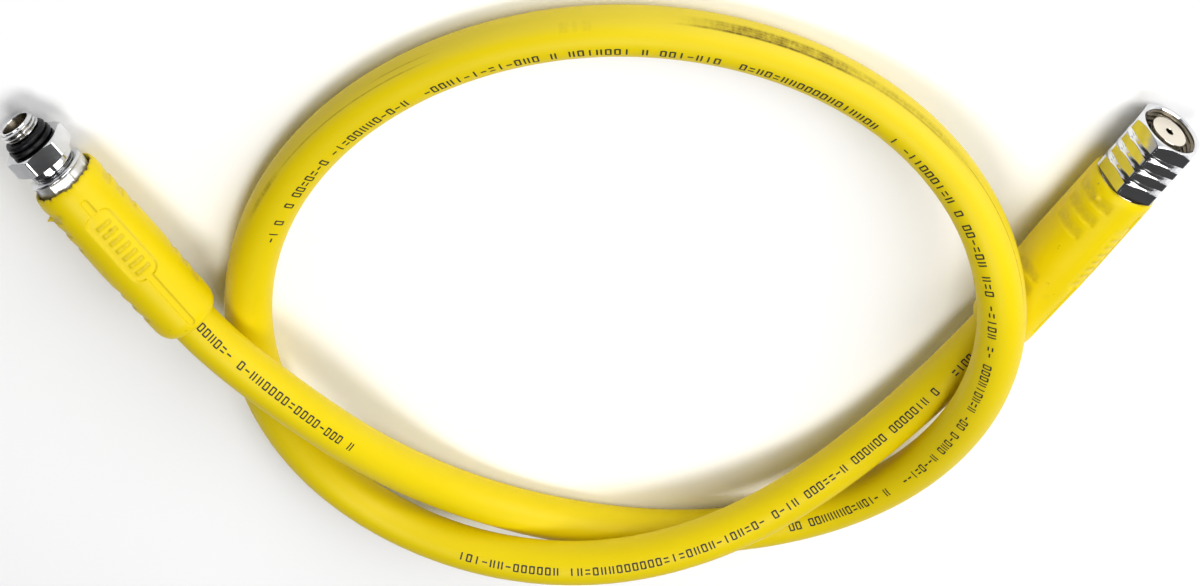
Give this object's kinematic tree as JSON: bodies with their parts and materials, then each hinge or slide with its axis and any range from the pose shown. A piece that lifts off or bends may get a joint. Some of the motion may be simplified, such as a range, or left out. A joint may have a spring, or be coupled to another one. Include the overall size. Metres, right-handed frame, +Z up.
{
  "type": "low-pressure breathing-gas hose",
  "caption": "Yellow rubber breathing-gas hose lying in a loose ring, with a push-in threaded fitting, a free-turning hexagonal union nut and a moulded sleeve over each crimp.",
  "frame": {"origin": "middle of the coiled hose's footprint, on the surface that it lies on", "axes": "+Z up, +X from the push-in fitting's side towards the union nut's side, +Y towards both open ends"},
  "size_m": [0.2841, 0.1873, 0.0304],
  "materials": {
    "hose_rubber": "satin",
    "sleeve_rubber": "satin",
    "chrome": "polished",
    "seal_rubber": "satin"
  },
  "bodies": {
    "hose_line": {"hose": "hose_rubber", "first_stage_fitting": "chrome", "fitting_o_ring": "seal_rubber", "fitting_back_ring": "seal_rubber", "first_stage_ferrule": "chrome", "first_stage_sleeve": "sleeve_rubber", "swivel_stem": "chrome", "stem_o_ring": "seal_rubber", "second_stage_ferrule": "chrome", "second_stage_sleeve": "sleeve_rubber"},
    "union_nut": {"swivel_nut": "chrome"}
  },
  "joints": [
    {"name": "nut_swivel", "type": "hinge", "parent": "hose_line", "child": "union_nut", "pos_m": [0.13436, 0.06056, 0.0093], "axis": [0.4705, 0.8824, 0], "continuous": true}
  ]
}
